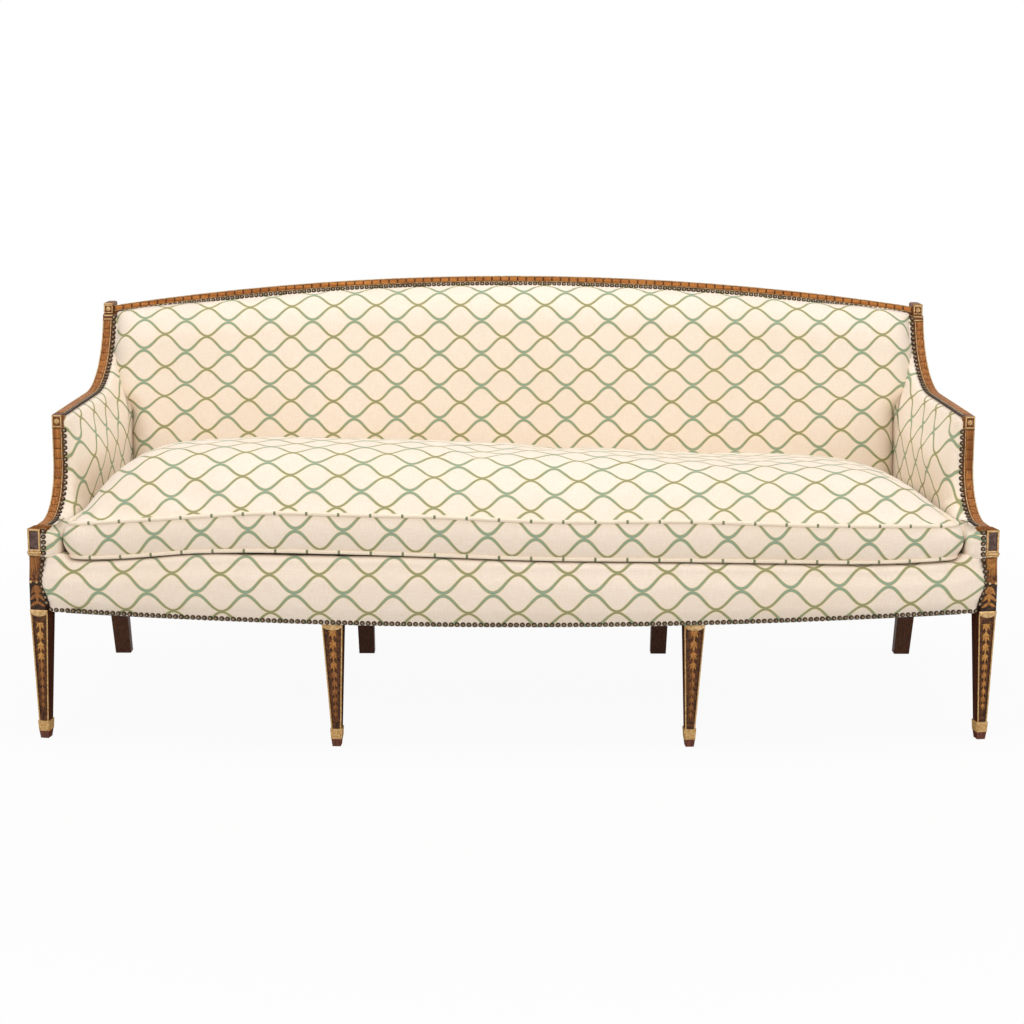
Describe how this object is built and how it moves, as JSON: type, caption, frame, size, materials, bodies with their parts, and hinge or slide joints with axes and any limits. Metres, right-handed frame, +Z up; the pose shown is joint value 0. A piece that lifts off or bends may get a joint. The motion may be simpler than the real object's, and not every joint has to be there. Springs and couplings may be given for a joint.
{
  "type": "sofa",
  "caption": "Bow-fronted upholstered sofa with an arched crest, swept painted show-wood arms, tapered legs, close nailing and a loose seat cushion.",
  "frame": {"origin": "middle of the footprint on the floor, under the middle of the overall box", "axes": "+X along the sofa to the right as seen from the front, +Y from front to back, +Z up"},
  "size_m": [1.9988, 0.8237, 0.9137],
  "materials": {
    "painted_showwood": "satin",
    "dark_mahogany": "satin",
    "beech": "matte",
    "trellis_cloth": "matte",
    "stuffing": "matte",
    "hessian": "matte",
    "platform_cloth": "matte",
    "jute": "matte",
    "black_cloth": "matte",
    "antique_bronze": "satin",
    "spring_steel": "satin",
    "screw_steel": "satin"
  },
  "bodies": {
    "frame": {"arm_rail_left": "painted_showwood", "arm_rail_right": "painted_showwood", "arm_slat_left": "beech", "arm_slat_right": "beech", "arm_stump_left": "painted_showwood", "arm_stump_right": "painted_showwood", "back_lower_rail": "beech", "back_post_left": "painted_showwood", "back_post_right": "painted_showwood", "back_upright_left": "beech", "back_upright_right": "beech", "corner_block_screws": "screw_steel", "corner_blocks": "beech", "crest_rail": "painted_showwood", "deck_cloth": "platform_cloth", "deck_pad": "stuffing", "dust_cover": "black_cloth", "frame_dowels": "beech", "front_border_cover": "trellis_cloth", "front_border_pad": "stuffing", "front_leg_left": "painted_showwood", "front_leg_right": "painted_showwood", "front_middle_leg_left": "painted_showwood", "front_middle_leg_right": "painted_showwood", "front_seat_rail": "beech", "inside_arm_cover_left": "trellis_cloth", "inside_arm_cover_right": "trellis_cloth", "inside_arm_pad_left": "stuffing", "inside_arm_pad_right": "stuffing", "inside_back_cover": "trellis_cloth", "inside_back_pad": "stuffing", "nails_arm_left": "antique_bronze", "nails_arm_right": "antique_bronze", "nails_crest": "antique_bronze", "nails_front": "antique_bronze", "outside_arm_cover_left": "trellis_cloth", "outside_arm_cover_right": "trellis_cloth", "outside_back_cover": "trellis_cloth", "rear_inner_leg_left": "dark_mahogany", "rear_inner_leg_right": "dark_mahogany", "rear_seat_rail": "beech", "seat_brace_left": "beech", "seat_brace_right": "beech", "seat_springs": "spring_steel", "side_seat_rail_left": "beech", "side_seat_rail_right": "beech", "spring_canvas": "hessian", "webbing_crosswise": "jute", "webbing_lengthwise": "jute"},
    "seat_cushion": {"cushion_cover": "trellis_cloth", "cushion_fill": "stuffing", "cushion_welt_bottom": "trellis_cloth", "cushion_welt_top": "trellis_cloth"}
  },
  "joints": [
    {"name": "cushion_lift", "type": "slide", "parent": "frame", "child": "seat_cushion", "axis": [0, 0, 1], "range_m": [0, 0.55]}
  ]
}
